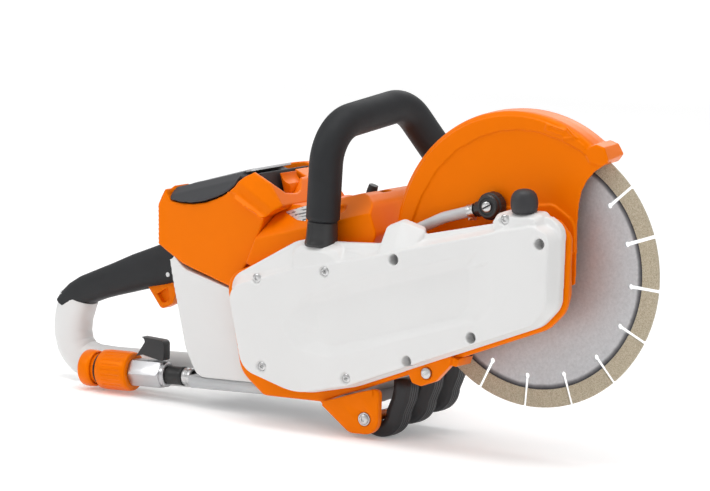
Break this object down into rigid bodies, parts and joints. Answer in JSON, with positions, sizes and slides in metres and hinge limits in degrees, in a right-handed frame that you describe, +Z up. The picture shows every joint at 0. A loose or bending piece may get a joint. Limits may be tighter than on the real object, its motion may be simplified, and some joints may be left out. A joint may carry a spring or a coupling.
{
  "type": "rescue saw",
  "caption": "Hand-held battery cut-off saw with a segmented diamond blade, tilting guard, belt arm, water feed and lift-out battery.",
  "frame": {"origin": "middle of the footprint of the whole saw, on the ground", "axes": "+X to the blade end, +Y to the operator's left-hand side, +Z up"},
  "size_m": [0.6158, 0.183, 0.2876],
  "materials": {
    "housing_white": "fine satin moulding",
    "housing_orange": "satin moulding",
    "casting_orange": "powder coated",
    "guard_orange": "powder coated",
    "cover_white": "fine satin moulding",
    "tray_grey": "satin",
    "grip_black": "soft matte",
    "foam_black": "soft matte foam",
    "tube_black": "satin black",
    "black_plastic": "satin",
    "screw_steel": "zinc plated",
    "machined_steel": "machined",
    "blade_steel": "ground in circles",
    "diamond": "sintered grit",
    "belt_rubber": "matte",
    "winding": "enamelled wire",
    "board_green": "lacquered",
    "hose_grey": "smooth",
    "hose_black": "smooth",
    "coupling_orange": "satin",
    "valve_metal": "nickel plated",
    "battery_dark": "textured",
    "battery_grey": "satin",
    "plate_silver": "brushed",
    "knob_rubber": "soft matte",
    "apron_rubber": "satin"
  },
  "bodies": {
    "chassis": {"lower_housing": "housing_white", "upper_housing": "housing_orange", "deck_cover": "housing_orange", "base_tray": "tray_grey", "far_foot": "apron_rubber", "arm_casting": "casting_orange", "arm_cover": "cover_white", "cover_screws": "screw_steel", "rating_plate": "plate_silver", "front_handle_tube": "tube_black", "front_handle_sleeve": "foam_black", "handle_collars": "black_plastic", "rear_handle_loop": "housing_white", "rear_grip": "grip_black", "trigger_pin": "screw_steel", "trigger_spring": "screw_steel", "switch_module": "black_plastic", "control_board": "board_green", "motor_stator": "winding", "motor_bracket": "machined_steel", "motor_bearings": "machined_steel", "drive_belt": "belt_rubber", "spindle_bearings": "machined_steel", "guard_hose": "hose_grey", "inlet_hose": "hose_black", "inlet_hose_clamp": "screw_steel", "valve_body": "valve_metal", "coupling_barrel": "coupling_orange", "battery_terminal": "screw_steel", "apron": "apron_rubber", "apron_bracket": "casting_orange", "bracket_screws": "screw_steel"},
    "blade_spindle": {"spindle": "machined_steel", "driven_pulley": "machined_steel", "inner_flange": "machined_steel", "blade_core": "blade_steel", "blade_segments": "diamond", "outer_flange": "machined_steel", "blade_bolt": "screw_steel"},
    "rotor": {"motor_rotor": "machined_steel", "drive_pulley": "machined_steel"},
    "guard": {"guard": "guard_orange", "guard_nozzles": "screw_steel", "guard_fitting": "black_plastic", "fitting_screw": "screw_steel", "guard_hose_clamp": "screw_steel"},
    "knob": {"guard_knob": "knob_rubber"},
    "trigger": {"trigger": "housing_orange"},
    "lockout": {"lockout_button": "housing_orange"},
    "battery": {"battery_case": "battery_dark", "battery_lid": "battery_grey"},
    "latch": {"battery_latch": "black_plastic"},
    "selector": {"selector_lever": "black_plastic"},
    "valve": {"valve_lever": "black_plastic"},
    "sleeve": {"coupling_sleeve": "coupling_orange"}
  },
  "joints": [
    {"name": "blade_spin", "type": "hinge", "parent": "chassis", "child": "blade_spindle", "pos_m": [0.19292, -0.0315, 0.1558], "axis": [0, 1, 0], "continuous": true},
    {"name": "motor_spin", "type": "hinge", "parent": "chassis", "child": "rotor", "pos_m": [-0.00944, -0.0315, 0.10013], "axis": [0, 1, 0], "continuous": true},
    {"name": "guard_tilt", "type": "hinge", "parent": "chassis", "child": "guard", "pos_m": [0.19292, -0.0315, 0.1558], "axis": [0, -1, 0], "range_deg": [-15, 25], "deforming": ["guard_hose"]},
    {"name": "knob_turn", "type": "hinge", "parent": "chassis", "child": "knob", "pos_m": [0.20497, -0.0785, 0.21251], "axis": [-0.0523, 0, 0.9986], "range_deg": [0, 180]},
    {"name": "trigger_pull", "type": "hinge", "parent": "chassis", "child": "trigger", "pos_m": [-0.18099, -0.0075, 0.10616], "axis": [0, 1, 0], "range_deg": [0, 11], "stiffness_Nm_per_rad": 0.6, "springref_deg": -20.05, "deforming": ["trigger_spring"]},
    {"name": "lockout_press", "type": "slide", "parent": "chassis", "child": "lockout", "axis": [0, -1, 0], "range_m": [0, 0.003], "stiffness_N_per_m": 400, "springref_m": -0.003},
    {"name": "battery_slide", "type": "slide", "parent": "chassis", "child": "battery", "axis": [-0.2924, 0, 0.9563], "range_m": [0, 0.075]},
    {"name": "latch_release", "type": "hinge", "parent": "chassis", "child": "latch", "pos_m": [-0.06313, -0.0055, 0.18784], "axis": [0, 1, 0], "range_deg": [0, 9], "stiffness_Nm_per_rad": 0.3, "springref_deg": -17.19},
    {"name": "selector_rock", "type": "hinge", "parent": "chassis", "child": "selector", "pos_m": [0.01727, -0.0115, 0.18993], "axis": [0, -1, 0], "range_deg": [0, 28]},
    {"name": "valve_turn", "type": "hinge", "parent": "chassis", "child": "valve", "pos_m": [-0.17943, -0.0405, 0.03815], "axis": [-0.0523, 0, 0.9986], "range_deg": [0, 90]},
    {"name": "sleeve_slide", "type": "slide", "parent": "chassis", "child": "sleeve", "axis": [0.9986, 0, 0.0523], "range_m": [0, 0.0026], "stiffness_N_per_m": 500, "springref_m": -0.004}
  ],
  "couplings": [
    {"joint": "motor_spin", "follows": "blade_spin", "ratio": 1.2941}
  ]
}
